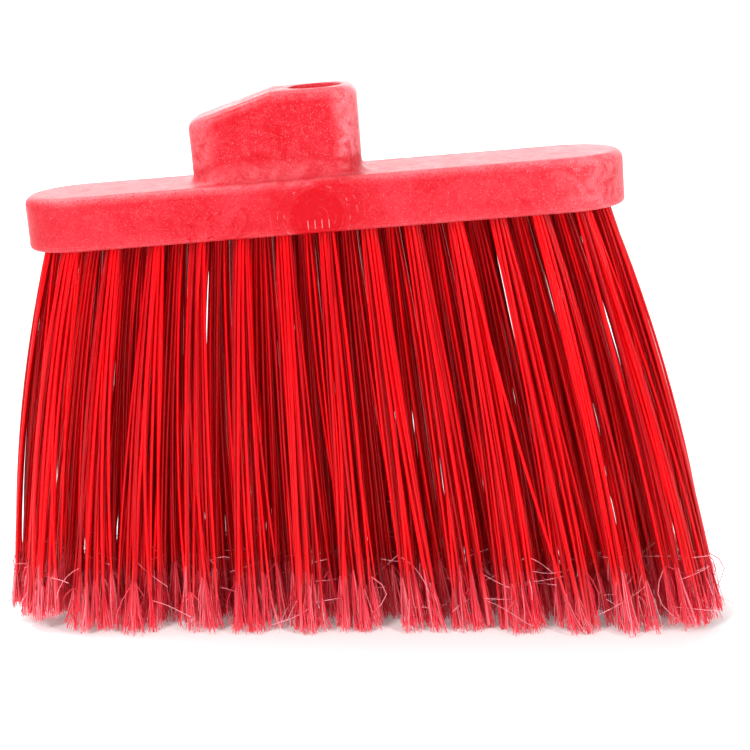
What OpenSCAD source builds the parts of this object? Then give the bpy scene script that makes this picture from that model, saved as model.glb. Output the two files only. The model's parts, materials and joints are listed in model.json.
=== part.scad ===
// Angle broom head: a moulded block with a threaded handle socket, staple-set bristle
// tufts in five staggered rows, and a flat wire anchor across the fold of each tuft.
// It stands on its bristle tips at z = 0. The tips are trimmed at an angle to the block,
// so the block rises towards +X. The front is at -Y.

/* [Block] */
// Length of the block, end to end
block_l = 254; // [210:1:310]
// Depth of the block, front to back; its ends are full rounds
block_w = 50.8; // [46:0.1:62]
// Thickness of the block under the socket
block_h = 22.5; // [18:0.5:30]
// Rounding of the block's top edge
top_edge_r = 4; // [1:0.5:5]
// Rounding of the block's bottom edge
bottom_edge_r = 1.5; // [0.5:0.5:3]

/* [Socket] */
// Length of the handle socket along the block
socket_l = 71; // [60:1:90]
// Width of the ledge that the block leaves in front of the socket and behind it
ledge_w = 7.9; // [6.5:0.1:9]
// Height of the socket's flat top above the block
socket_h = 36; // [28:0.5:48]
// Distance from the handle hole's axis to the socket's right-hand end
socket_right = 17; // [15:0.5:24]
// Distance from the handle hole's axis to the start of the sloped top
flat_left = 18.5; // [14:0.5:26]
// Fall of the sloped top, degrees from the flat top
slope_angle = 16; // [8:1:22]
// Corner radius of the socket, seen from above
socket_corner_r = 12; // [8:0.5:15]
// Rounding of the socket's top edges
socket_edge_r = 5; // [2:0.5:6]
// Concave fillet at the foot of the socket, where the ledge leaves room for it
socket_foot_r = 4; // [2:0.5:5]

/* [Handle hole] */
// Diameter of the lead-in that takes the handle's shoulder
mouth_d = 22.8; // [21:0.1:25]
// Depth of the lead-in
mouth_h = 3; // [2:0.5:8]
// Diameter over the thread's crests, the smallest in the hole
crest_d = 14.2; // [12:0.1:16]
// Diameter at the bottom of the thread's grooves
groove_d = 19.4; // [17:0.1:20]
// Distance from one thread groove to the next
thread_pitch = 5.08; // [3:0.01:6.35]
// Number of thread grooves
thread_turns = 6; // [3:1:6]
// Width of the thread's crest, as a share of the pitch
crest_share = 0.37; // [0.25:0.01:0.45]

/* [Bristles] */
// Tufts in each outer and middle row; the rows between have one more
tufts_in_row = 13; // [7:1:13]
// Distance from the block's end to the axis of the last tuft
end_margin = 10.6; // [9:0.1:16]
// Distance from the block's front or back to the axes of the nearest row
side_margin = 9.4; // [8.5:0.1:10]
// Shift of the middle row to the right and of the back row to the left, as a share of the pitch
row_shift = 0.25; // [0:0.05:0.3]
// Diameter of a tuft where it leaves the block
tuft_d = 7; // [5:0.1:7.5]
// Diameter that a tuft has spread to at its tip, when the nearest tips are tip_spacing apart
tuft_tip_d = 15; // [8:0.5:16]
// Distance between the nearest tips at that spread; closer tufts spread less, by as much
tip_spacing = 15.92; // [14:0.01:18]
// Depth of a tuft hole
tuft_depth = 13; // [9:0.5:14]
// Lean of the last tufts to left and right, degrees
fan_angle = 12; // [6:0.5:14]
// Lean of the front and back rows, degrees
splay_angle = 4.5; // [2:0.5:6]
// Height of the block's underside above the tips, at its middle
trim_h = 173; // [120:1:220]
// Angle between the block and the line of the tips, degrees
trim_angle = 4.5; // [0:0.5:8]

/* [Wire anchors] */
// Thickness of the flat wire
anchor_t = 0.5; // [0.3:0.1:0.8]
// Height of the flat wire
anchor_h = 2.2; // [1.5:0.1:3]
// How far each end of the wire bites into the wall of the tuft hole
anchor_bite = 1.2; // [0.5:0.1:1.5]
// Height of the wire's lower edge above the bottom of the tuft hole
anchor_lift = 2.6; // [1:0.1:3]

/* [Fits] */
// Clearance between a tuft and the wall of its hole
tuft_gap = 0.1; // [0.05:0.05:0.3]

/* [Hidden] */
$fn = 64;
HULL_FN = 32;
MOULDING = [0.91, 0.16, 0.20];
FILAMENT = [0.86, 0.02, 0.05];
WIRE = [0.62, 0.60, 0.56];
EMBED = 0.5;         // how far joined shapes run into each other
CUT_PAST = 1;        // how far a cutter runs past the face that it opens
FILLET_BITE = 0.15;  // makes a concave fillet cross its walls at a clear angle
THREAD_FLANK = 14.5; // slope of a thread groove's sides, degrees
LEAN_LENGTH = 1.25;  // a tuft is cut from a cone this much longer than its trimmed height

end_r = block_w / 2;
socket_w = block_w - 2 * ledge_w;
foot_r = min(socket_foot_r, ledge_w - top_edge_r);
straight_l = block_l - block_w;
top_z = block_h + socket_h;
hole_d = tuft_d + 2 * tuft_gap;
inner_in_row = tufts_in_row + 1;
last_inner_x = block_l / 2 - end_margin;
tuft_pitch = 2 * last_inner_x / (inner_in_row - 1);
outer_y = end_r - side_margin;
inner_y = outer_y / 2;
thread_l = thread_turns * thread_pitch;
crest_w = crest_share * thread_pitch;
hole_depth = mouth_h + thread_l + crest_w;
anchor_l = hole_d + 2 * anchor_bite;
nearest_x = (0.5 - row_shift) * tuft_pitch;
tip_dx = nearest_x + trim_h * tan(fan(nearest_x));
tip_dy = inner_y + trim_h * tan(splay(inner_y));
spread = (tuft_tip_d + norm([tip_dx, tip_dy]) - tip_spacing - tuft_d) / 2 / trim_h;
cone_l = LEAN_LENGTH * (trim_h + last_inner_x * tan(trim_angle));
flank_h = (groove_d - crest_d) / 2 * tan(THREAD_FLANK);
groove_open = thread_pitch - crest_w;
groove_floor = groove_open - 2 * flank_h;
socket_left = socket_right - socket_l;
disc_r = socket_corner_r - socket_edge_r;
corner_y = socket_w / 2 - socket_corner_r;
right_x = socket_right - socket_corner_r;
crease_x = disc_r - flat_left;
left_x = socket_left + socket_corner_r;

// ---- Places of the tufts, in the block's own frame: its underside is z = 0 ----

function numbered(stem, i) = str(stem, i < 10 ? "0" : "", i);
function tuft_x(i, count, shift = 0) = tuft_pitch * (i - (count + 1) / 2 + shift);
function fan(x) = fan_angle * x / last_inner_x;
function splay(y) = splay_angle * y / outer_y;

// Where the axis of the last inner tuft meets the floor, and how far its edge goes past
function floor_lean(side) = side * fan_angle + trim_angle;
function floor_reach(side) =
    let (
        root_x = side * last_inner_x * cos(trim_angle),
        root_z = trim_h + side * last_inner_x * sin(trim_angle),
        tip_r = tuft_d / 2 + spread * root_z / cos(floor_lean(side))
    )
    root_x + root_z * tan(floor_lean(side)) + side * tip_r / cos(floor_lean(side));
shift_x = -(floor_reach(1) + floor_reach(-1)) / 2;

// From the block's own frame to the frame of the part
module stand() {
    translate([shift_x, 0, trim_h]) rotate([0, -trim_angle, 0]) children();
}

// From a tuft's own frame, with its root at the origin and its tip at -Z, to the block's
module at_tuft(x, y) {
    translate([x, y, 0]) rotate([splay(y), -fan(x), 0]) children();
}

// ---- Block ----

// Half of the block's cross-section, from its middle plane outwards
module block_section() {
    difference() {
        square([end_r, block_h]);
        translate([end_r - top_edge_r, block_h - top_edge_r]) corner_waste(top_edge_r);
        translate([end_r - bottom_edge_r, bottom_edge_r])
            mirror([0, 1]) corner_waste(bottom_edge_r);
    }
}

module corner_waste(r) {
    difference() {
        square(r + CUT_PAST);
        circle(r);
    }
}

module block_body() {
    for (side = [0, 1]) {
        mirror([side, 0, 0]) translate([straight_l / 2, 0, 0])
            rotate([0, 0, -90]) rotate_extrude(angle = 180) block_section();
        mirror([0, side, 0]) translate([-straight_l / 2, 0, 0])
            rotate([90, 0, 90]) linear_extrude(straight_l) block_section();
    }
}

// ---- Socket ----

// A disc with a half-round rim, for the rounded top edges and corners
module rounded_disc() {
    rotate_extrude($fn = HULL_FN) {
        translate([disc_r, 0]) intersection() {
            circle(socket_edge_r, $fn = HULL_FN);
            translate([0, -socket_edge_r]) square(2 * socket_edge_r);
        }
        translate([0, -socket_edge_r]) square([disc_r, 2 * socket_edge_r]);
    }
}

module socket_boss() {
    flat_z = top_z - socket_edge_r;
    // The tilted disc's top plane passes through the end of the flat top
    left_z = top_z - (-flat_left - left_x) * tan(slope_angle)
        - socket_edge_r / cos(slope_angle);
    hull() for (side = [-1, 1]) {
        for (x = [right_x, crease_x])
            translate([x, side * corner_y, flat_z]) rounded_disc();
        translate([left_x + disc_r * (1 - cos(slope_angle)), side * corner_y, left_z])
            rotate([0, -slope_angle, 0]) rounded_disc();
        for (x = [right_x, left_x])
            translate([x, side * corner_y, block_h - EMBED])
                cylinder(h = socket_edge_r, r = socket_corner_r, $fn = HULL_FN);
    }
}

module foot_profile() {
    difference() {
        translate([-EMBED, -EMBED]) square(foot_r + EMBED);
        translate([foot_r, foot_r]) circle(foot_r + FILLET_BITE);
    }
}

module socket_foot() {
    translate([0, 0, block_h]) for (side = [0, 1]) mirror([0, side, 0]) {
        translate([left_x, corner_y, 0]) {
            rotate([0, 0, 90]) rotate_extrude(angle = 90)
                translate([socket_corner_r, 0]) foot_profile();
            rotate([90, 0, 90]) linear_extrude(right_x - left_x)
                translate([socket_corner_r, 0]) foot_profile();
        }
        translate([right_x, corner_y, 0]) rotate_extrude(angle = 90)
            translate([socket_corner_r, 0]) foot_profile();
    }
    translate([0, 0, block_h]) {
        translate([right_x, corner_y, 0]) rotate([90, 0, 0]) linear_extrude(2 * corner_y)
            translate([socket_corner_r, 0]) foot_profile();
        translate([left_x, -corner_y, 0]) rotate([90, 0, 180]) linear_extrude(2 * corner_y)
            translate([socket_corner_r, 0]) foot_profile();
    }
}

// The handle hole, measured down from the socket's flat top
module handle_hole() {
    rotate_extrude() polygon([
        [0, CUT_PAST], [mouth_d / 2, CUT_PAST], [mouth_d / 2, -mouth_h],
        [groove_d / 2, -mouth_h], [crest_d / 2, -mouth_h - flank_h],
        [crest_d / 2, -hole_depth], [0, -hole_depth]
    ]);
    for (turn = [1:thread_turns])
        translate([0, 0, -mouth_h - (turn - 0.5) * thread_pitch - crest_w / 2])
            rotate_extrude() polygon([
                [0, groove_open / 2], [crest_d / 2, groove_open / 2],
                [groove_d / 2, groove_floor / 2], [groove_d / 2, -groove_floor / 2],
                [crest_d / 2, -groove_open / 2], [0, -groove_open / 2]
            ]);
}

// ---- Tufts and anchors ----

// The hole starts a tuft's width below the block, so that a leaning one opens fully
module tuft_hole() {
    translate([0, 0, -tuft_d]) cylinder(h = tuft_depth + tuft_d, d = hole_d);
}

module anchor_bar() {
    translate([-anchor_l / 2, -anchor_t / 2, tuft_depth - anchor_lift - anchor_h])
        cube([anchor_l, anchor_t, anchor_h]);
}

module tuft(x, y) {
    color(FILAMENT) difference() {
        stand() at_tuft(x, y) difference() {
            rotate_extrude() polygon([
                [0, tuft_depth], [tuft_d / 2, tuft_depth], [tuft_d / 2, 0],
                [tuft_d / 2 + spread * cone_l, -cone_l], [0, -cone_l]
            ]);
            anchor_bar();
        }
        translate([-block_l, -block_l, -cone_l]) cube([2 * block_l, 2 * block_l, cone_l]);
    }
}

module anchors(row, count) {
    for (i = [1:count]) at_tuft(tuft_x(i, count, row[1]), row[0]) anchor_bar();
}

// Each row's distance from the middle plane, and its shift as a share of the pitch
front_row = [-outer_y, 0];
front_inner_row = [-inner_y, 0];
middle_row = [0, row_shift];
back_inner_row = [inner_y, 0];
back_row = [outer_y, -row_shift];

module for_every_tuft() {
    for (row = [front_row, middle_row, back_row], i = [1:tufts_in_row])
        at_tuft(tuft_x(i, tufts_in_row, row[1]), row[0]) children();
    for (row = [front_inner_row, back_inner_row], i = [1:inner_in_row])
        at_tuft(tuft_x(i, inner_in_row, row[1]), row[0]) children();
}

module block() {
    color(MOULDING) stand() difference() {
        union() {
            block_body();
            socket_boss();
            socket_foot();
        }
        translate([0, 0, top_z]) handle_hole();
        for_every_tuft() {
            tuft_hole();
            anchor_bar();
        }
    }
}

module outer_tufts(i) {
    for (row = [front_row, back_row]) tuft(tuft_x(i, tufts_in_row, row[1]), row[0]);
}

module inner_tufts(i) {
    for (row = [front_inner_row, back_inner_row]) tuft(tuft_x(i, inner_in_row, row[1]), row[0]);
}

module middle_tuft(i) {
    tuft(tuft_x(i, tufts_in_row, middle_row[1]), middle_row[0]);
}

module outer_anchors() {
    color(WIRE) stand()
        for (row = [front_row, back_row]) anchors(row, tufts_in_row);
}

module inner_anchors() {
    color(WIRE) stand()
        for (row = [front_inner_row, back_inner_row]) anchors(row, inner_in_row);
}

module middle_anchors() {
    color(WIRE) stand() anchors(middle_row, tufts_in_row);
}

block();
for (i = [1:tufts_in_row]) {
    outer_tufts(i);
    middle_tuft(i);
}
for (i = [1:inner_in_row])
    inner_tufts(i);
outer_anchors();
inner_anchors();
middle_anchors();
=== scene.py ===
import json
import math

import bmesh
import bpy
import numpy as np
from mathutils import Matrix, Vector
from mathutils.geometry import tessellate_polygon


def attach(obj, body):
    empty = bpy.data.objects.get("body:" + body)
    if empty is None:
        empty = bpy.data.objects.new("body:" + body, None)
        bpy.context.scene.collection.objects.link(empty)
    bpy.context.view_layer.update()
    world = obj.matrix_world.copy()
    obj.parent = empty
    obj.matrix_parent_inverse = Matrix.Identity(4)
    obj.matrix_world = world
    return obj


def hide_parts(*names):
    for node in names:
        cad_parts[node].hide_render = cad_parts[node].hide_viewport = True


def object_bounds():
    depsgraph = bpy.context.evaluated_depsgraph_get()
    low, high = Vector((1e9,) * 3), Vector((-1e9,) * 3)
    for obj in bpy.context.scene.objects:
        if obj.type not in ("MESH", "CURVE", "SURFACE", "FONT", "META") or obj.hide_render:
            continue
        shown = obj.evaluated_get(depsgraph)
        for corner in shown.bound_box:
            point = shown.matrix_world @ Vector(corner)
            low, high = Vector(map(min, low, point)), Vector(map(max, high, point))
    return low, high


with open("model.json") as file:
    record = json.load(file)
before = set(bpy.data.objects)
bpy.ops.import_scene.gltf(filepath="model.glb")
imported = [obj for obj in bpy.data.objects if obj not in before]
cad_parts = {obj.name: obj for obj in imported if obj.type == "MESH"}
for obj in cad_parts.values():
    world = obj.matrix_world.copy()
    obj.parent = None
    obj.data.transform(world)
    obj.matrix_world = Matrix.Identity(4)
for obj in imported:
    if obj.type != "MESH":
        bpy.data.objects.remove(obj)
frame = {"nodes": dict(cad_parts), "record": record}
cad_lo, cad_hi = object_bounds()
MM = 0.001

# ---------------------------------------------------------------- camera
CAM_X, CAM_Y, CAM_Z = 4.14, -750.0, 295.0      # mm
CAM_PITCH, CAM_ROLL = 14.144, 0.138            # degrees
LENS, SENSOR = 85.056, 36.0                     # mm

cam_data = bpy.data.cameras.new("camera")
cam_data.sensor_width = SENSOR
cam_data.lens = LENS
cam = bpy.data.objects.new("camera", cam_data)
cam.location = (CAM_X * MM, CAM_Y * MM, CAM_Z * MM)
cam.rotation_euler = (math.radians(90 - CAM_PITCH), math.radians(CAM_ROLL), 0)
bpy.context.scene.collection.objects.link(cam)
bpy.context.scene.camera = cam
bpy.context.scene.view_settings.view_transform = "Standard"

# ---------------------------------------------------------------- sizes (mm), as in the CAD model
BLOCK_L, BLOCK_W, BLOCK_H = 254.0, 50.8, 22.5
TOP_EDGE_R, BOTTOM_EDGE_R = 4.0, 1.5
SOCKET_L, LEDGE_W, SOCKET_H, SOCKET_RIGHT = 71.0, 7.9, 36.0, 17.0
FLAT_LEFT, SLOPE_ANGLE = 18.5, 16.0
SOCKET_CORNER_R, SOCKET_EDGE_R, FOOT_R = 12.0, 5.0, 3.9
MOUTH_D, MOUTH_H, CREST_D, GROOVE_D = 22.8, 3.0, 14.2, 19.4
THREAD_PITCH, THREAD_TURNS, CREST_SHARE = 5.08, 6, 0.37
THREAD_HALF_ANGLE = 14.5
ROW_COUNT, END_MARGIN, SIDE_MARGIN = 13, 10.6, 9.4
TUFT_D, TUFT_TIP_D, TUFT_DEPTH, TUFT_GAP = 7.0, 15.0, 13.0, 0.1
FAN_ANGLE, SPLAY_ANGLE = 12.0, 4.5
ANCHOR_LIFT = 2.6
ROW_SHIFT = {-2: 0.0, -1: 0.0, 0: 0.25, 1: 0.0, 2: -0.25}

TOP_Z = BLOCK_H + SOCKET_H
END_R = BLOCK_W / 2
LAST_X = BLOCK_L / 2 - END_MARGIN
ROW_PITCH = (END_R - SIDE_MARGIN) / 2
CREST_W = CREST_SHARE * THREAD_PITCH
THREAD_END = MOUTH_H + THREAD_TURNS * THREAD_PITCH + CREST_W
# the sloping side of a thread, as a share of one pitch
FLANK = (GROOVE_D - CREST_D) / 2 * math.tan(math.radians(THREAD_HALF_ANGLE)) / THREAD_PITCH

# The block's own frame in the row frame, from the handle hole's axis
mount = {m["name"]: m for m in frame["record"]["mounts"]}
up = np.array(mount["handle_thread"]["axis"])
up = up / np.linalg.norm(up)
along = np.array([up[2], 0.0, -up[0]])
deep = np.array([0.0, 1.0, 0.0])
lead = np.array(mount["handle_lead_in"]["pos_m"]) / MM
origin = lead - up * (TOP_Z - MOUTH_H / 2)


def to_world(p):
    """Points in the block's own frame (mm) to the row frame (m)."""
    p = np.asarray(p, float)
    return (origin + p[..., :1] * along + p[..., 1:2] * deep + p[..., 2:3] * up) * MM


def to_row(p):
    """Points in the block's own frame to the row frame, both in mm."""
    return to_world(p) / MM


def make_mesh(name, verts, faces, attributes):
    """An object from vertices and faces, with its attributes given as {name: (type, values)}."""
    me = bpy.data.meshes.new(name)
    me.from_pydata([tuple(v) for v in verts], [], faces)
    for key, (kind, values) in attributes.items():
        layer = me.attributes.new(key, kind, "POINT")
        slot = "vector" if kind == "FLOAT_VECTOR" else "value"
        layer.data.foreach_set(slot, np.asarray(values, np.float32).ravel())
    me.update()
    ob = bpy.data.objects.new(name, me)
    bpy.context.scene.collection.objects.link(ob)
    return ob


# ---------------------------------------------------------------- block mesh
LOOP = 384            # vertices in a ring round the block
HOLE_SIDES = 24       # vertices in a ring round a tuft hole
HOLE_EDGE = 0.3       # a tuft hole's rounded edge, mm
HOLE_FOOT = 0.6       # the bevel at its bottom, mm


def outline(x_lo, x_hi, half_y, r):
    """Centres and outward normals of a rounded rectangle's outline, evenly spaced, from +X."""
    sides = [((x_hi, 0), (x_hi, half_y), (1, 0)), ((x_hi, half_y), None, 0),
             ((x_hi, half_y), (x_lo, half_y), (0, 1)), ((x_lo, half_y), None, 90),
             ((x_lo, half_y), (x_lo, -half_y), (-1, 0)), ((x_lo, -half_y), None, 180),
             ((x_lo, -half_y), (x_hi, -half_y), (0, -1)), ((x_hi, -half_y), None, 270),
             ((x_hi, -half_y), (x_hi, 0), (1, 0))]
    lengths = [math.dist(a, b) if b else r * math.pi / 2 for a, b, _ in sides]
    total = sum(lengths)
    centres, normals = [], []
    for i in range(LOOP):
        s = total * i / LOOP
        for (a, b, n), length in zip(sides, lengths):
            if s < length:
                break
            s -= length
        t = s / length
        if b:
            centres.append((a[0] + (b[0] - a[0]) * t, a[1] + (b[1] - a[1]) * t))
            normals.append(n)
        else:
            angle = math.radians(n + 90 * t)
            centres.append(a)
            normals.append((math.cos(angle), math.sin(angle)))
    return np.array(centres), np.array(normals)


def top_height(x):
    """Height of the socket's top: flat, then sloping down to the left, with a softened crease."""
    slope = TOP_Z + (x + FLAT_LEFT) * math.tan(math.radians(SLOPE_ANGLE))
    soft = 0.55
    gap = slope - TOP_Z
    return TOP_Z + 0.5 * (gap - np.sqrt(gap * gap + soft * soft)) + 0.5 * soft * np.exp(-np.abs(gap))


def thread_radius(phase):
    """Radius of the threaded wall at a phase of 0 to 1 along one pitch: crest, flank, groove, flank."""
    knots = [0, CREST_SHARE, CREST_SHARE + FLANK, 1 - FLANK, 1]
    radii = [CREST_D / 2, CREST_D / 2, GROOVE_D / 2, GROOVE_D / 2, CREST_D / 2]
    return np.interp(np.mod(phase, 1.0), knots, radii)


def quads(a, b, count, closed=True):
    """Faces between two rows of vertices, which start at a and at b."""
    ahead = [(j + 1) % count if closed else j + 1 for j in range(count)]
    return [(a + j, a + k, b + k, b + j) for j, k in enumerate(ahead)]


def block_rings():
    """The block's skin as rings of vertices, from its underside to the foot of the lead-in.

    It also gives the painted edge highlight at each vertex, and the angles at which they stand round the
    hole."""
    rings, edge = [], []

    # its third value is a painted highlight on the rounded edges, kept at each vertex
    def ring(xy, z, painted_edge_light=0.0):
        z = np.broadcast_to(np.asarray(z, float), (LOOP,))
        rings.append(np.column_stack([xy, z]))
        edge.append(np.full(LOOP, painted_edge_light))

    bc, bn = outline(-(BLOCK_L / 2 - END_R), BLOCK_L / 2 - END_R, 0.0001, END_R)
    r = BOTTOM_EDGE_R
    ring(bc + bn * (END_R - r - 0.25), 0)
    for k in range(6):
        a = math.radians(90 * k / 5)
        ring(bc + bn * (END_R - r + r * math.sin(a)), r - r * math.cos(a), 0.6)
    ring(bc + bn * END_R, r + 0.35)
    # a fine parting ridge round the block, just above its lower edge, with a painted highlight along it
    for dz, out in ((0.50, 0.0), (0.62, 0.10), (0.78, 0.10), (0.90, 0.0), (1.2, 0.0)):
        ring(bc + bn * (END_R + out), r + dz, 0.9 if out else 0.2)
    for z in (6, 9, 12, 15, BLOCK_H - TOP_EDGE_R - 0.4):
        ring(bc + bn * END_R, z)
    r = TOP_EDGE_R
    for k in range(10):
        a = math.radians(90 * k / 9)
        ring(bc + bn * (END_R - r + r * math.cos(a)), BLOCK_H - r + r * math.sin(a), math.sin(2 * a))
    ring(bc + bn * (END_R - r - 0.4), BLOCK_H)

    corner_y = BLOCK_W / 2 - LEDGE_W - SOCKET_CORNER_R
    right_x = SOCKET_RIGHT - SOCKET_CORNER_R
    left_x = SOCKET_RIGHT - SOCKET_L + SOCKET_CORNER_R
    sc, sn = outline(left_x, right_x, corner_y, SOCKET_CORNER_R)
    # planar steps across the block's top to the foot of the socket
    here = rings[-1][:, :2]
    there = sc + sn * (SOCKET_CORNER_R + FOOT_R + 0.02)
    for t in (0.25, 0.5, 0.75, 0.93):
        ring(here + (there - here) * t, BLOCK_H)
    for k in range(9):
        a = math.radians(90 * k / 8)
        xy = sc + sn * (SOCKET_CORNER_R + FOOT_R * (1 - math.sin(a)))
        ring(xy, BLOCK_H + FOOT_R * (1 - math.cos(a)), 0.1)
    wall_top = top_height(sc[:, 0] + sn[:, 0] * (SOCKET_CORNER_R - SOCKET_EDGE_R)) - SOCKET_EDGE_R
    wall_foot = BLOCK_H + FOOT_R
    wall = sc + sn * SOCKET_CORNER_R
    for t in (0.03, 0.2, 0.4, 0.6, 0.8, 0.97):
        ring(wall, wall_foot + (wall_top - wall_foot) * t)
    r = SOCKET_EDGE_R
    for k in range(13):
        a = math.radians(90 * k / 12)
        xy = sc + sn * (SOCKET_CORNER_R - r + r * math.cos(a))
        edge_top = top_height(sc[:, 0] + sn[:, 0] * (SOCKET_CORNER_R - r))
        ring(xy, edge_top - r + r * math.sin(a), math.sin(2 * a))
    rim = rings[-1][:, :2]
    angle = np.mod(np.arctan2(rim[:, 1], rim[:, 0]), 2 * math.pi)
    circle = np.column_stack([np.cos(angle), np.sin(angle)])
    lip = 0.7
    mouth = circle * (MOUTH_D / 2 + lip)
    for t in (0.05, *np.linspace(0.12, 0.94, 20), 1.0):
        xy = rim + (mouth - rim) * t
        ring(xy, top_height(xy[:, 0]))
    for k in range(1, 6):
        a = math.radians(90 * k / 5)
        ring(circle * (MOUTH_D / 2 + lip - lip * math.sin(a)), TOP_Z - lip + lip * math.cos(a), 0.5)
    ring(circle * MOUTH_D / 2, TOP_Z - MOUTH_H + 0.5)
    for k in range(1, 5):
        a = math.radians(90 * k / 4)
        ring(circle * (MOUTH_D / 2 - 0.4 + 0.4 * math.cos(a)), TOP_Z - MOUTH_H + 0.4 - 0.4 * math.sin(a))
    ring(circle * (GROOVE_D / 2 + 0.15), TOP_Z - MOUTH_H)
    return rings, edge, angle


def thread_rings(turn):
    """A helical thread: rings that climb one pitch a turn, held between two flat planes."""
    steps = [0.0, 0.12, CREST_SHARE - 0.12, CREST_SHARE, CREST_SHARE + 0.5 * FLANK, CREST_SHARE + FLANK,
             1 - FLANK, 1 - 0.5 * FLANK]
    depth_l = THREAD_END - MOUTH_H
    helix = []
    for off in [(whole + s) * THREAD_PITCH for whole in range(THREAD_TURNS + 3) for s in steps]:
        d = np.clip(off - THREAD_PITCH * turn / (2 * math.pi), 0, depth_l)
        phase = (d + THREAD_PITCH * turn / (2 * math.pi)) / THREAD_PITCH
        rad = thread_radius(phase + 1e-9)
        helix.append(np.column_stack([rad * np.cos(turn), rad * np.sin(turn), TOP_Z - MOUTH_H - d]))
    return helix


def hole_rings(x, y):
    """Four rings down a tuft hole, the one in the underside first, and the point at its bottom."""
    axis, e1, e2 = tuft_axes(x, y)
    root = np.array([x, y, 0.0])
    t = 2 * math.pi * np.arange(HOLE_SIDES) / HOLE_SIDES
    around = np.outer(np.cos(t), e1) + np.outer(np.sin(t), e2)
    hole_r = TUFT_D / 2 + TUFT_GAP
    hole = []
    for rad, depth, level in ((hole_r + HOLE_EDGE, 0.0, True), (hole_r, HOLE_EDGE, True),
                              (hole_r, TUFT_DEPTH - HOLE_FOOT, False),
                              (hole_r - HOLE_FOOT, TUFT_DEPTH, False)):
        pts = root + around * rad
        if level:
            pts = pts - np.outer(pts[:, 2] / axis[2], axis)
        hole.append(pts - axis * depth)
    return hole, root - axis * (TUFT_DEPTH + 0.4)


def build_block():
    """The whole block in one mesh: skin, thread, the hole's bottom, and the underside with its holes."""
    rings, edge, angle = block_rings()
    count = len(rings)
    verts = [np.vstack(rings)]
    # the painted edge highlight at each vertex, zero on the thread, the hole's bottom and the tuft holes
    painted_edge_light = [np.concatenate(edge)]
    faces = []
    for i in range(count - 1):
        faces += quads(i * LOOP, (i + 1) * LOOP, LOOP)
    base = count * LOOP

    # the thread's rings have one more vertex, because a helix doesn't close
    turn = np.append(angle, 2 * math.pi)
    turn[0] = 0.0
    helix = thread_rings(turn)
    cols = LOOP + 1
    verts.append(np.vstack(helix))
    painted_edge_light.append(np.zeros(len(helix) * cols))
    for i in range(len(helix) - 1):
        faces += quads(base + i * cols, base + (i + 1) * cols, LOOP, closed=False)
    step = (count - 1) * LOOP
    for j in range(LOOP):
        faces.append((step + j, step + (j + 1) % LOOP, base + j + 1, base + j))
    last = base + (len(helix) - 1) * cols
    hub = base + len(helix) * cols
    verts.append(np.array([[0, 0, TOP_Z - THREAD_END - 1.0]]))
    painted_edge_light.append(np.zeros(1))
    for j in range(LOOP):
        faces.append((last + j, last + j + 1, hub))
    base = hub + 1

    # underside: one flat face with the tuft holes in it
    loops = [[Vector((*p[:2], 0)) for p in rings[0]]]
    index = list(range(LOOP))
    for x, y in tuft_places():
        hole, bottom = hole_rings(x, y)
        verts.append(np.vstack(hole + [bottom]))
        painted_edge_light.append(np.zeros(len(hole) * HOLE_SIDES + 1))
        for i in range(len(hole) - 1):
            faces += quads(base + i * HOLE_SIDES, base + (i + 1) * HOLE_SIDES, HOLE_SIDES)
        low = base + (len(hole) - 1) * HOLE_SIDES
        for j in range(HOLE_SIDES):
            faces.append((low + j, low + (j + 1) % HOLE_SIDES, low + HOLE_SIDES))
        loops.append([Vector((*p[:2], 0)) for p in hole[0]])
        index += list(range(base, base + HOLE_SIDES))
        base += len(hole) * HOLE_SIDES + 1
    for tri in tessellate_polygon(loops):
        faces.append(tuple(index[i] for i in tri))

    local = np.vstack(verts)
    ob = make_mesh("broom_block", to_world(local), faces,
                   {"place": ("FLOAT_VECTOR", local * MM), "painted_edge_light": ("FLOAT", np.concatenate(painted_edge_light))})
    bm = bmesh.new()
    bm.from_mesh(ob.data)
    bmesh.ops.remove_doubles(bm, verts=bm.verts, dist=2e-6)
    bmesh.ops.dissolve_degenerate(bm, edges=bm.edges, dist=1e-6)
    bmesh.ops.recalc_face_normals(bm, faces=bm.faces)
    bm.to_mesh(ob.data)
    bm.free()
    ob.data.shade_smooth()
    ob.data.set_sharp_from_angle(angle=math.radians(32))
    return ob


# ---------------------------------------------------------------- tufts
def tuft_places():
    """Where each tuft leaves the block, in the block's own frame: rows of 13, 14, 13, 14 and 13."""
    pitch = 2 * LAST_X / ROW_COUNT
    for row in (-2, -1, 0, 1, 2):
        n = ROW_COUNT if row % 2 == 0 else ROW_COUNT + 1
        for i in range(n):
            yield pitch * (i - (n - 1) / 2 + ROW_SHIFT[row]), row * ROW_PITCH


def tuft_axes(x, y, fan_gain=1.0, splay_gain=1.0):
    """A tuft's direction towards its tip, and two directions across it, in the block's own frame."""
    fan = math.radians(FAN_ANGLE * fan_gain * x / LAST_X)
    splay = math.radians(SPLAY_ANGLE * splay_gain * y / (2 * ROW_PITCH))
    # -Z turned by -fan about Y, then by splay about X
    axis = np.array([math.sin(fan), math.sin(splay) * math.cos(fan), -math.cos(splay) * math.cos(fan)])
    e1 = np.array([math.cos(fan), -math.sin(splay) * math.sin(fan), math.cos(splay) * math.sin(fan)])
    e2 = np.array([0.0, math.cos(splay), math.sin(splay)])
    return axis, e1, e2


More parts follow.
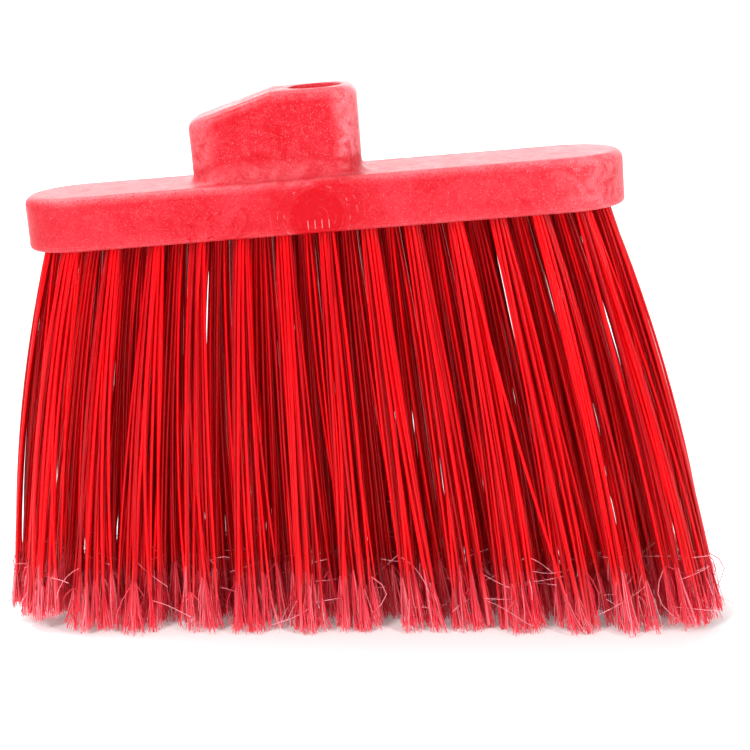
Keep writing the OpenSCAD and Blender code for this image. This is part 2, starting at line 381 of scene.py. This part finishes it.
def tubes(paths, radii, sides, ref):
    """Tubes along many paths at once: vertices, quads and end caps."""
    n, m, _ = paths.shape
    tangent = np.gradient(paths, axis=1)
    tangent /= np.linalg.norm(tangent, axis=2, keepdims=True)
    side = np.cross(tangent, ref)
    side /= np.linalg.norm(side, axis=2, keepdims=True)
    other = np.cross(tangent, side)
    t = 2 * math.pi * np.arange(sides) / sides
    ring = (side[:, :, None, :] * np.cos(t)[None, None, :, None]
            + other[:, :, None, :] * np.sin(t)[None, None, :, None]) * radii[:, :, None, None]
    verts = (paths[:, :, None, :] + ring).reshape(-1, 3)
    idx = np.arange(n * m * sides).reshape(n, m, sides)
    a, b = idx[:, :-1, :], idx[:, 1:, :]
    quads = np.stack([a, np.roll(a, -1, axis=2), np.roll(b, -1, axis=2), b], axis=-1).reshape(-1, 4)
    caps = np.concatenate([idx[:, 0, ::-1], idx[:, -1, :]])
    return verts, quads, caps


# lengths and heights in mm, heights above the floor
FIL_R = 0.66                        # radius of a filament
PAIRS = 10                          # folded filaments in a tuft, two ends each
SEGS = 15                           # points along a filament
STEM_SIDES, HAIR_SIDES = 7, 3       # vertices round a filament, and round a split fibre
HAIRS = 12                          # split fibres at a filament's end
HAIR_SEGS = 6                       # points along a split fibre
HAIR_R = (0.26, 0.15)               # its radius where it starts, and at its tip
LOOSE_R = (0.16, 0.11)              # the same of a loose, curly one
TAPER = np.array([0.62, 0.85, 0.96, 1.0])   # of a filament's last points, where it splits
SPLIT_LOW, SPLIT_HIGH = 13, 26      # heights between which the filaments split
BLUNT_SHARE, BLUNT_HIGH = 0.10, 3.0   # share that doesn't split, and the most that it ends up
FLAG_TOP = 34                       # height at which the filaments start to turn paler
FLOOR_GAP = 0.02                    # nothing reaches lower
FOLD_IN, FOLD_OUT = 0.95, 2.6       # least and most that a fold stands out from the tuft's middle
END_X = [-112.0, -84.0, 100.0, 116.0]   # the end tufts are shorter, from these places along the block
END_LIFT = [5.5, 0.0, 0.0, 4.0]         # by these lengths
TIP_LO, TIP_HI = cad_lo[0] / MM + 6.5, cad_hi[0] / MM - 5.0   # the tips stay inside the CAD outline
rng = np.random.default_rng(20)


def packing(count, radius):
    """Places for `count` filaments in the tuft hole, by pushing random discs apart."""
    p = rng.uniform(-1, 1, (count, 2)) * radius * 0.7
    for _ in range(260):
        d = p[:, None] - p[None]
        dist = np.linalg.norm(d, axis=2) + np.eye(count) * 9
        push = np.clip(2 * FIL_R * 1.02 - dist, 0, None)
        p += (d / dist[..., None] * push[..., None]).sum(1) * 0.32
        out = np.linalg.norm(p, axis=1)
        over = np.clip(out - (radius - FIL_R), 0, None)
        p -= p / np.maximum(out, 1e-6)[:, None] * over[:, None]
    return p


def build_tuft(x, y):
    """Paths of one tuft's filaments in the row frame (mm), from the hole to the tips, with the tuft's root
    and directions.
    """
    axis, e1, e2 = tuft_axes(x, y)
    start, _, _ = tuft_axes(x, y, 1.35, 1.25)
    root = np.array([x, y, 0.0])
    spots = packing(2 * PAIRS, TUFT_D / 2)
    spots = spots[np.argsort(spots[:, 1])]
    # the same directions and the root in the row frame
    wa, w1, w2, ws = (to_row(v) - to_row(np.zeros(3)) for v in (axis, e1, e2, start))
    wroot = to_row(root)
    length = wroot[2] / -wa[2]
    tip_r = TUFT_TIP_D / 2
    pull = rng.normal(0, 1.0, 2)
    # the rows behind the front one stand more evenly and spread wider, so that they close its gaps
    in_front = y < -1.5 * ROW_PITCH
    drift, wide = (2.2, 1.15) if in_front else (1.2, 1.45)
    ends = []
    for u, v in spots:
        rho = math.hypot(u, v) / (TUFT_D / 2)
        theta = math.atan2(v, u) + rng.normal(0, 0.35)
        reach = tip_r * (0.25 + 0.95 * rho) * rng.uniform(0.5, 1.2)
        du = reach * math.cos(theta) * wide + pull[0] * drift + rng.normal(0, 1.6)
        dv = reach * math.sin(theta) * 0.9 + pull[1] * 1.2
        if rng.random() < 0.07:
            du += rng.normal(0, 7)
        p0 = wroot + w1 * u + w2 * v
        tip = wroot + wa * length + w1 * du + w2 * dv
        tip = tip - (tip[2] / wa[2]) * wa
        if tip[0] < TIP_LO:
            tip[0] = TIP_LO + abs(rng.normal(0, 2.0))
        if tip[0] > TIP_HI:
            tip[0] = TIP_HI - abs(rng.normal(0, 2.0))
        span = np.linalg.norm(tip - p0)
        lean = ws + w1 * (rng.normal(0, 0.022) + 0.010 * u) + w2 * (rng.normal(0, 0.02) + 0.012 * v)
        p1 = p0 + lean / np.linalg.norm(lean) * span * 0.5
        ends.append((p0, p1, tip))
    p0, p1, p2 = (np.array(v) for v in zip(*ends))
    t = np.linspace(0, 1, SEGS)
    s = t[None, :, None]
    curve = (1 - s) ** 2 * p0[:, None] + 2 * s * (1 - s) * p1[:, None] + s ** 2 * p2[:, None]
    # slow waves along each filament
    n = len(curve)
    wave = rng.normal(0, 0.45, (n, 2, 3))
    ph = rng.uniform(0, 2 * math.pi, (n, 2, 3))
    for i, across in enumerate((w1, w2)):
        amp = sum(wave[:, i, k, None] / (k + 1) * np.sin((k + 1) * 2.4 * t[None] + ph[:, i, k, None])
                  for k in range(3))
        curve += (amp * (t ** 0.7 * (1.05 - t))[None] * 2.0)[..., None] * across
    return curve, wroot, wa, w1, w2


def split_point(curve, height):
    """Cuts each path where it passes a height above the floor, and evens out its points."""
    out = []
    for c, h in zip(curve, height):
        z = c[:, 2]
        s = np.interp(-h, -z, np.arange(len(z)))
        k = np.linspace(0, s, len(z))
        out.append(np.column_stack([np.interp(k, np.arange(len(z)), c[:, i]) for i in range(3)]))
    return np.array(out)


def sample(path, heights):
    """Points of a path where it passes the given heights."""
    z = path[:, 2]
    s = np.interp(-heights, -z, np.arange(len(z)))
    return np.column_stack([np.interp(s, np.arange(len(z)), path[:, k]) for k in range(3)])


def folded_filament(pa, pb, wroot, wa, w1, w2):
    """A filament's path: up from one tip, over the wire anchor in the hole, and down to the other tip."""
    inner_top = TUFT_DEPTH - ANCHOR_LIFT
    ua, ub = pa[0] - wroot, pb[0] - wroot
    xa, xb = ua @ w1, ub @ w1
    xm = 0.5 * (xa + xb)
    ya = -max(FOLD_IN, min(-(ua @ w2), FOLD_OUT))
    yb = max(FOLD_IN, min(ub @ w2, FOLD_OUT))
    fold = []
    for k in range(7):
        t = math.pi * k / 6
        cy = 0.5 * (ya + yb) - 0.5 * (yb - ya) * math.cos(t)
        up_z = inner_top - 0.9 + 1.6 * math.sin(t)
        fold.append(wroot + w1 * xm + w2 * cy - wa * up_z)
    rise = wroot + w1 * (0.6 * xa + 0.4 * xm) + w2 * ya - wa * 5.0
    fall = wroot + w1 * (0.6 * xb + 0.4 * xm) + w2 * yb - wa * 5.0
    return np.vstack([pa[::-1], [rise], fold, [fall], pb])


def stem_tubes(stem, blunt, shade, wroot, wa, w1, w2):
    """The filaments of a tuft as tubes, tapered where they split."""
    half = len(stem) // 2
    low, high = np.arange(half), np.arange(half, len(stem))[::-1]
    paths = np.array([folded_filament(stem[a], stem[b], wroot, wa, w1, w2) for a, b in zip(low, high)])
    rad = np.full(paths.shape[:2], FIL_R)
    rad[:, 0] *= 0.98
    ends = len(TAPER)
    for i, (a, b) in enumerate(zip(low, high)):
        if not blunt[a]:
            rad[i, :ends] *= TAPER
        if not blunt[b]:
            rad[i, -ends:] *= TAPER[::-1]
    v, q, c = tubes(paths, rad, STEM_SIDES, w1)
    v[:, 2] = np.maximum(v[:, 2], FLOOR_GAP)
    flag = np.clip((FLAG_TOP - v[:, 2]) / FLAG_TOP, 0, 1) ** 2 * 0.45
    return v, q, c, flag, np.repeat(shade[low], paths.shape[1] * STEM_SIDES)


def split_fibre(path, top, fan_out, lift, w1, w2):
    """One split fibre: it follows its filament and bends out towards the tip."""
    low_z = rng.uniform(0.0, 1.0) ** 2 * 2.4 + 0.15 + lift
    line = sample(path, np.linspace(top, low_z, HAIR_SEGS))
    u = np.linspace(0, 1, HAIR_SEGS)
    th = rng.uniform(0, 2 * math.pi)
    off = fan_out * math.sqrt(rng.random())
    bend = rng.normal(0, 0.5)
    du = (off * math.cos(th)) * u ** 1.5 + 0.3 * math.cos(th) + bend * u * (1 - u) * 3
    dv = (off * math.sin(th)) * u ** 1.5 + 0.3 * math.sin(th)
    line = line + du[:, None] * w1 + dv[:, None] * w2
    if rng.random() < 0.06:
        line = line + (np.sin(u * rng.uniform(2, 5)) * rng.normal(0, 3.2))[:, None] * w1
    return line


def loose_fibre(path, w1, w2):
    """A loose curly fibre across its neighbours, kept near the CAD outline."""
    start = sample(path, np.array([rng.uniform(8, 34)]))[0]
    direction = (rng.normal(0, 1) * w1 + rng.uniform(-1.2, 0.4) * np.array([0, 0, 1.0])
                 - 0.25 * w2 * rng.random())
    direction = direction / np.linalg.norm(direction)
    curl = rng.normal(0, 1, 3) * 1.5
    steps = np.linspace(0, rng.uniform(7, 20), HAIR_SEGS)[:, None]
    line = start + direction * steps + curl * (steps / 10) ** 2
    line[:, 0] = np.clip(line[:, 0], TIP_LO - 5.0, TIP_HI + 5.0)
    line[:, 1] = np.clip(line[:, 1], cad_lo[1] / MM - 2.0, cad_hi[1] / MM + 2.0)
    line[:, 2] = np.maximum(line[:, 2], 0.3)
    return line


def hair_tubes(curve, height, blunt, lift, w1, w2):
    """The split fibres at a tuft's tips as tubes, with a loose one here and there."""
    paths, radii, shade = [], [], []
    for path, split_z, whole in zip(curve, height, blunt):
        if whole:
            continue
        top = min(split_z + rng.uniform(1, 4), path[0, 2])
        fan_out = rng.uniform(1.7, 3.7)
        for _ in range(HAIRS):
            paths.append(split_fibre(path, top, fan_out, lift, w1, w2))
            radii.append(np.linspace(*HAIR_R, HAIR_SEGS))
            shade.append(rng.uniform(0.55, 1.0) if rng.random() < 0.19 else rng.uniform(0.0, 0.30))
        if rng.random() < 0.28:
            paths.append(loose_fibre(path, w1, w2))
            radii.append(np.linspace(*LOOSE_R, HAIR_SEGS))
            shade.append(1.0)
    v, q, c = tubes(np.array(paths), np.array(radii), HAIR_SIDES, w1)
    v[:, 2] = np.maximum(v[:, 2], FLOOR_GAP)
    flag = np.tile(np.repeat(np.linspace(0.45, 1.0, HAIR_SEGS), HAIR_SIDES), len(paths))
    return v, q, c, flag, np.repeat(shade, HAIR_SEGS * HAIR_SIDES)


def tuft_geometry(places):
    """Vertices, faces and attributes of the filaments of one or two tufts."""
    all_v, all_q, all_c, flag, tone = [], [], [], [], []
    base = 0
    for x, y in places:
        curve, wroot, wa, w1, w2 = build_tuft(x, y)
        n = len(curve)
        blunt = rng.random(n) < BLUNT_SHARE
        lift = float(np.interp(x, END_X, END_LIFT))
        height = lift + np.where(blunt, rng.uniform(0.0, BLUNT_HIGH, n),
                                 rng.uniform(SPLIT_LOW, SPLIT_HIGH, n))
        stem = split_point(curve, height)
        shade = rng.uniform(0, 1, n)
        for v, q, c, f, s in (stem_tubes(stem, blunt, shade, wroot, wa, w1, w2),
                              hair_tubes(curve, height, blunt, lift, w1, w2)):
            all_v.append(v)
            all_q.append(q + base)
            all_c.append(c + base)
            flag.append(f)
            tone.append(s)
            base += len(v)
    faces = [tuple(f) for group in all_q + all_c for f in group]
    return np.vstack(all_v) * MM, faces, np.concatenate(flag), np.concatenate(tone)


def build_tufts(name, places, node):
    """One piece: the tufts at the given places, in place of a CAD node."""
    v, faces, flag, tone = tuft_geometry(places)
    ob = make_mesh(name, v, faces, {"flag": ("FLOAT", flag), "tone": ("FLOAT", tone)})
    ob.data.shade_smooth()
    ob.data.set_sharp_from_angle(angle=math.radians(75))
    ob.data.materials.append(filament_material)
    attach(ob, "root")
    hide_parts(node)
    return ob


# ---------------------------------------------------------------- materials
class Nodes:
    """Short calls for building a node tree."""

    def __init__(self, name):
        self.mat = bpy.data.materials.new(name)
        self.mat.use_nodes = True
        self.tree = self.mat.node_tree
        self.bsdf = self.tree.nodes["Principled BSDF"]

    def add(self, kind, **props):
        node = self.tree.nodes.new(kind)
        for key, value in props.items():
            setattr(node, key, value)
        return node

    def link(self, a, b):
        self.tree.links.new(a, b)

    def put(self, socket, value):
        if isinstance(value, bpy.types.NodeSocket):
            self.link(value, socket)
        else:
            socket.default_value = value

    def attr(self, name):
        return self.add("ShaderNodeAttribute", attribute_name=name)

    def math(self, op, a, b=0.0, c=0.0, clamp=False):
        node = self.add("ShaderNodeMath", operation=op, use_clamp=clamp)
        for i, value in enumerate((a, b, c)):
            if i < len(node.inputs):
                self.put(node.inputs[i], value)
        return node.outputs[0]

    def remap(self, value, lo, hi, out_lo=0.0, out_hi=1.0, smooth=True):
        node = self.add("ShaderNodeMapRange", interpolation_type="SMOOTHSTEP" if smooth else "LINEAR")
        for key, v in (("Value", value), ("From Min", lo), ("From Max", hi),
                       ("To Min", out_lo), ("To Max", out_hi)):
            self.put(node.inputs[key], v)
        return node.outputs[0]

    def noise(self, vector, scale, detail=3.0, rough=0.55, distortion=0.0):
        node = self.add("ShaderNodeTexNoise")
        self.put(node.inputs["Vector"], vector)
        node.inputs["Scale"].default_value = scale
        node.inputs["Detail"].default_value = detail
        node.inputs["Roughness"].default_value = rough
        node.inputs["Distortion"].default_value = distortion
        return node.outputs["Fac"]

    def voronoi(self, vector, scale, randomness=1.0):
        node = self.add("ShaderNodeTexVoronoi")
        self.put(node.inputs["Vector"], vector)
        node.inputs["Scale"].default_value = scale
        node.inputs["Randomness"].default_value = randomness
        return node.outputs["Distance"], node.outputs["Color"]

    def mix(self, fac, a, b, blend="MIX"):
        node = self.add("ShaderNodeMix", data_type="RGBA", blend_type=blend)
        self.put(node.inputs[0], fac)
        self.put(node.inputs[6], a)
        self.put(node.inputs[7], b)
        return node.outputs[2]

    def bump(self, height, strength, distance, normal=None):
        node = self.add("ShaderNodeBump")
        node.inputs["Strength"].default_value = strength
        node.inputs["Distance"].default_value = distance
        self.put(node.inputs["Height"], height)
        if normal is not None:
            self.link(normal, node.inputs["Normal"])
        return node.outputs[0]

    def xyz(self, vector):
        node = self.add("ShaderNodeSeparateXYZ")
        self.link(vector, node.inputs[0])
        return node.outputs


def block_plastic():
    """Foamed plastic with a satin skin: pale flecks, swirl marks, and a deep, smooth patch at the gate, with
    painted highlights on the top face, the ends and the rounded edges.
    """
    n = Nodes("block_plastic")
    place = n.attr("place").outputs["Vector"]
    # painted highlight along the rounded edges, read from the mesh
    painted_edge_light = n.attr("painted_edge_light").outputs["Fac"]
    x, y, z = n.xyz(place)

    cloud = n.noise(place, 45, 4, 0.6, 0.6)
    blotch = n.noise(place, 120, 4, 0.6, 1.5)
    # swirl lines are contour lines of a distorted noise, broken up by a second one
    field = n.noise(place, 150, 3, 0.5, 2.2)
    line = n.math("ABSOLUTE", n.math("SUBTRACT", n.math("FRACT", n.math("MULTIPLY", field, 14.0)), 0.5))
    line = n.remap(line, 0.10, 0.0)
    broken = n.remap(n.noise(place, 420, 2, 0.5), 0.50, 0.66)
    swirl = n.math("MULTIPLY", line, broken)
    # flecks: small cells, more of them and larger to the right end
    dist, cell = n.voronoi(place, 1000)
    pick = n.xyz(cell)[0]
    # this mask sets more flecks towards the right end, and also a painted lightening of the red there
    right = n.remap(x, 0.04, 0.12)
    socket = n.remap(z, 0.026, 0.032)
    amount = n.math("ADD", n.math("MULTIPLY", right, 0.24), n.math("MULTIPLY", socket, 0.07))
    size = n.math("ADD", n.math("MULTIPLY", amount, 0.35), 0.15)
    fleck = n.remap(n.math("SUBTRACT", dist, size), 0.08, -0.06)
    chosen = n.remap(n.math("ADD", pick, amount), 0.72, 0.78)
    fleck = n.math("MULTIPLY", fleck, chosen)
    grain = n.noise(place, 1500, 2, 0.6)
    fine = n.noise(place, 2100, 3, 0.65, 0.8)
    fibre = n.noise(place, 650, 4, 0.62, 3.0)

    # the gate: a smooth disc low on the front, cut off by the block's lower edge, with rings round it
    gx = n.math("ADD", x, 0.0025)
    gz = n.math("ADD", z, -0.0070)
    radius = n.math("SQRT", n.math("ADD", n.math("MULTIPLY", gx, gx), n.math("MULTIPLY", gz, gz)))
    radius = n.math("ADD", radius, n.math("MULTIPLY", n.math("SUBTRACT", n.noise(place, 90, 2), 0.5), 0.004))
    front = n.remap(y, -0.0215, -0.0245)
    gate = n.math("MULTIPLY", n.remap(radius, 0.0124, 0.0112), front)
    halo = n.math("MULTIPLY", n.remap(radius, 0.034, 0.014), front)
    halo = n.math("MULTIPLY", halo, n.remap(cloud, 0.36, 0.56))
    ripple = n.math("FRACT", n.math("MULTIPLY", radius, 330.0))
    rings = n.remap(n.math("ABSOLUTE", n.math("SUBTRACT", ripple, 0.5)), 0.09, 0.0)
    rings = n.math("MULTIPLY", rings, n.math("MULTIPLY", n.remap(radius, 0.022, 0.014), front))
    rings = n.math("MULTIPLY", rings, n.remap(blotch, 0.48, 0.60))
    # darker smears where the skin is thin
    smear_x = n.remap(n.math("ABSOLUTE", n.math("ADD", x, 0.047)), 0.026, 0.010)
    smear = n.math("MULTIPLY", n.math("MULTIPLY", smear_x, front),
                   n.remap(n.noise(place, 95, 4, 0.55, 2.5), 0.53, 0.66))
    smear = n.math("MULTIPLY", smear, n.remap(z, 0.0165, 0.0125))
    # four short pale ticks under the gate's middle
    tick = n.math("ABSOLUTE", n.math("SUBTRACT", n.math("FRACT", n.math("MULTIPLY", gx, 345.0)), 0.5))
    tick = n.math("MULTIPLY", n.remap(tick, 0.07, 0.02), n.remap(n.math("ABSOLUTE", gx), 0.0062, 0.0056))
    tick_z = n.math("MULTIPLY", n.remap(z, 0.0018, 0.0024), n.remap(z, 0.0062, 0.0050))
    tick = n.math("MULTIPLY", n.math("MULTIPLY", tick, front), tick_z)
    # a deeper red on the socket's middle
    core_x = n.remap(n.math("ABSOLUTE", n.math("ADD", x, 0.018)), 0.032, 0.012)
    core = n.math("MULTIPLY", n.math("MULTIPLY", core_x, socket), n.remap(cloud, 0.42, 0.62))

    deep = n.math("MAXIMUM", gate, n.math("MAXIMUM", n.math("MULTIPLY", halo, 0.75),
                  n.math("MAXIMUM", n.math("MULTIPLY", smear, 0.9), n.math("MULTIPLY", core, 0.80))))
    tone = n.math("ADD", n.math("MULTIPLY", n.math("SUBTRACT", cloud, 0.5), 1.7), 0.42)
    tone = n.math("ADD", tone, n.math("MULTIPLY", n.math("SUBTRACT", blotch, 0.5), 1.1))
    tone = n.math("ADD", tone, n.math("MULTIPLY", n.math("SUBTRACT", fine, 0.5), 1.5))
    # painted highlight: the base red made lighter towards the right end
    tone = n.math("ADD", tone, n.math("MULTIPLY", right, 0.30), clamp=True)
    base = n.mix(tone, (0.47, 0.001, 0.009, 1), (0.56, 0.027, 0.042, 1))
    # painted highlight: the socket's right end made paler, its left end at a little over half as much
    ends = n.math("MAXIMUM", n.remap(x, 0.004, 0.013), n.math("MULTIPLY", n.remap(x, -0.040, -0.051), 0.55))
    ends = n.math("MULTIPLY", ends, socket)
    # painted highlight: the block's top face made paler, away from the socket
    top = n.math("MULTIPLY", n.remap(z, 0.0195, 0.0222), n.math("SUBTRACT", 1.0, socket))
    # painted highlight: the block's right end made paler
    painted_right_end_sheen = n.math("MULTIPLY", n.remap(x, 0.085, 0.122), 0.62)
    painted_sheen_and_specks = n.math("MAXIMUM", n.math("MAXIMUM", ends, n.math("MULTIPLY", top, 0.30)), painted_right_end_sheen)
    painted_sheen_and_specks = n.math("MULTIPLY", painted_sheen_and_specks, n.remap(blotch, 0.34, 0.58, 0.25, 1.0))
    painted_sheen_and_specks = n.math("MULTIPLY", painted_sheen_and_specks, n.remap(fibre, 0.38, 0.60, 0.45, 1.0))
    # real pale specks from two noises join the painted sheen
    speck = n.math("MULTIPLY", n.remap(fine, 0.57, 0.70), n.remap(fibre, 0.42, 0.58))
    speck_gain = n.math("ADD", 0.50, n.math("MULTIPLY", socket, 0.35))
    painted_sheen_and_specks = n.math("MAXIMUM", painted_sheen_and_specks, n.math("MULTIPLY", speck, speck_gain))
    # the painted sheen and the specks take this pale pink
    base = n.mix(painted_sheen_and_specks, base, (0.74, 0.195, 0.220, 1))
    # painted highlight: the rounded edges made paler, broken up by a fibre noise
    painted_edge_highlight = n.math("MULTIPLY", n.math("MULTIPLY", painted_edge_light, 0.30), n.remap(fibre, 0.35, 0.62))
    base = n.mix(painted_edge_highlight, base, (0.86, 0.22, 0.25, 1))
    base = n.mix(deep, base, (0.46, 0.0002, 0.006, 1))
    pale = n.math("MULTIPLY", swirl, n.math("ADD", 0.20, n.math("MULTIPLY", socket, 0.12)))
    pale = n.math("MULTIPLY", pale, n.math("SUBTRACT", 1.0, gate))
    pale = n.math("MAXIMUM", pale, n.math("MULTIPLY", fleck, 0.32))
    pale = n.math("MAXIMUM", pale, n.math("MULTIPLY", rings, 0.35))
    pale = n.math("MULTIPLY", pale, n.math("SUBTRACT", 1.0, n.math("MULTIPLY", gate, 0.8)))
    pale = n.math("MAXIMUM", pale, n.math("MULTIPLY", tick, 0.6))
    base = n.mix(pale, base, (0.93, 0.36, 0.40, 1))
    n.link(base, n.bsdf.inputs["Base Color"])
    rough = n.math("ADD", n.remap(blotch, 0.3, 0.7, 0.34, 0.50), n.math("MULTIPLY", deep, -0.14))
    n.link(rough, n.bsdf.inputs["Roughness"])
    n.bsdf.inputs["Specular IOR Level"].default_value = 0.14
    normal = n.bump(grain, 0.22, 0.0002)
    normal = n.bump(n.math("ADD", fleck, swirl), 0.30, 0.00012, normal)
    normal = n.bump(rings, 0.5, 0.0002, normal)
    normal = n.bump(cloud, 0.25, 0.0012, normal)
    n.link(normal, n.bsdf.inputs["Normal"])
    return n.mat


def filament_plastic():
    """Extruded filament: deep glossy red, with paler, rougher split ends."""
    n = Nodes("filament_plastic")
    flag = n.attr("flag").outputs["Fac"]
    tone = n.attr("tone").outputs["Fac"]
    coord = n.add("ShaderNodeTexCoord").outputs["Object"]
    stretch = n.add("ShaderNodeMapping")
    stretch.inputs["Scale"].default_value = (1, 1, 0.06)
    n.link(coord, stretch.inputs["Vector"])
    streak = n.noise(stretch.outputs[0], 900, 3, 0.6)
    base = n.mix(tone, (0.32, 0.0002, 0.003, 1), (0.97, 0.0012, 0.005, 1))
    base = n.mix(n.remap(streak, 0.35, 0.75, 0.0, 0.3), base, (0.76, 0.008, 0.014, 1))
    pale = n.mix(tone, (1.0, 0.020, 0.055, 1), (1.0, 0.50, 0.58, 1))
    base = n.mix(n.remap(flag, 0.0, 1.0, 0.0, 0.95, smooth=False), base, pale)
    n.link(base, n.bsdf.inputs["Base Color"])
    n.link(n.remap(flag, 0.0, 1.0, 0.22, 0.5), n.bsdf.inputs["Roughness"])
    n.bsdf.inputs["Specular IOR Level"].default_value = 0.16
    n.link(n.bump(streak, 0.15, 0.0002), n.bsdf.inputs["Normal"])
    return n.mat


def wire_metal():
    """Drawn metal of the wire anchors."""
    n = Nodes("wire_metal")
    coord = n.add("ShaderNodeTexCoord").outputs["Object"]
    drawn = n.noise(coord, 2500, 3, 0.6)
    n.link(n.mix(drawn, (0.50, 0.48, 0.44, 1), (0.70, 0.68, 0.64, 1)), n.bsdf.inputs["Base Color"])
    n.bsdf.inputs["Metallic"].default_value = 1.0
    n.link(n.remap(drawn, 0.3, 0.7, 0.28, 0.45), n.bsdf.inputs["Roughness"])
    n.link(n.bump(drawn, 0.2, 0.0001), n.bsdf.inputs["Normal"])
    return n.mat


filament_material = filament_plastic()
block_material = block_plastic()
wire_material = wire_metal()

# ---------------------------------------------------------------- pieces
block = build_block()
block.data.materials.append(block_material)
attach(block, "root")
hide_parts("block")

places = list(tuft_places())
rows = {r: [p for p in places if round(p[1] / ROW_PITCH) == r] for r in (-2, -1, 0, 1, 2)}
for i in range(ROW_COUNT):
    build_tufts(f"outer_bristles_{i + 1:02d}", [rows[-2][i], rows[2][i]], f"outer_tufts_{i + 1:02d}")
    build_tufts(f"middle_bristles_{i + 1:02d}", [rows[0][i]], f"middle_tuft_{i + 1:02d}")
for i in range(ROW_COUNT + 1):
    build_tufts(f"inner_bristles_{i + 1:02d}", [rows[-1][i], rows[1][i]], f"inner_tufts_{i + 1:02d}")
for name in ("outer_anchors", "inner_anchors", "middle_anchors"):
    ob = frame["nodes"][name]
    for s in ob.material_slots:
        s.material = wire_material

# ---------------------------------------------------------------- floor and light
bpy.ops.mesh.primitive_plane_add(size=60.0, location=(0, 0, 0))
floor = bpy.context.object
floor.name = "floor"
# paper that glows slightly, so that it stays white far behind the head
f = Nodes("floor_paper")
f.bsdf.inputs["Base Color"].default_value = (0.70, 0.70, 0.70, 1)
f.bsdf.inputs["Emission Color"].default_value = (0.98, 0.99, 1.0, 1)
f.bsdf.inputs["Emission Strength"].default_value = 0.17
f.bsdf.inputs["Roughness"].default_value = 0.9
f.bsdf.inputs["Specular IOR Level"].default_value = 0.0
floor.data.materials.append(f.mat)

# the world is white to the camera and dimmer as a light
world = bpy.data.worlds.new("studio")
world.use_nodes = True
wt = world.node_tree
dim = wt.nodes["Background"]
dim.inputs[0].default_value = (0.96, 0.98, 1.0, 1)
dim.inputs[1].default_value = 0.13
white = wt.nodes.new("ShaderNodeBackground")
white.inputs[0].default_value = (1, 1, 1, 1)
white.inputs[1].default_value = 1.05
seen = wt.nodes.new("ShaderNodeLightPath")
both = wt.nodes.new("ShaderNodeMixShader")
wt.links.new(seen.outputs["Is Camera Ray"], both.inputs[0])
wt.links.new(dim.outputs[0], both.inputs[1])
wt.links.new(white.outputs[0], both.inputs[2])
wt.links.new(both.outputs[0], wt.nodes["World Output"].inputs[0])
bpy.context.scene.world = world


def aimed(name, kind, at, towards, energy):
    """A lamp at a place in metres, turned towards a point."""
    data = bpy.data.lights.new(name, kind)
    data.energy = energy
    ob = bpy.data.objects.new(name, data)
    ob.location = at
    ob.rotation_euler = (Vector(towards) - Vector(at)).to_track_quat("-Z", "Y").to_euler()
    bpy.context.scene.collection.objects.link(ob)
    return ob


def softbox(name, at, towards, size, power):
    """A rectangular lamp that the camera doesn't see."""
    ob = aimed(name, "AREA", at, towards, power)
    ob.data.shape = "RECTANGLE"
    ob.data.size, ob.data.size_y = size
    ob.visible_camera = False
    return ob


key = aimed("key", "SUN", (-0.6, 0.45, 1.3), (0, 0, 0), 4.0)
key.data.angle = math.radians(35)
softbox("back", (0.15, 1.6, 0.75), (0, 0, 0.2), (2.8, 1.1), 30)
softbox("front_left", (-0.72, -0.85, 0.80), (0, 0, 0.06), (0.24, 0.9), 15)
softbox("front_right", (0.85, -0.72, 0.72), (0, 0, 0.06), (0.18, 0.9), 13)
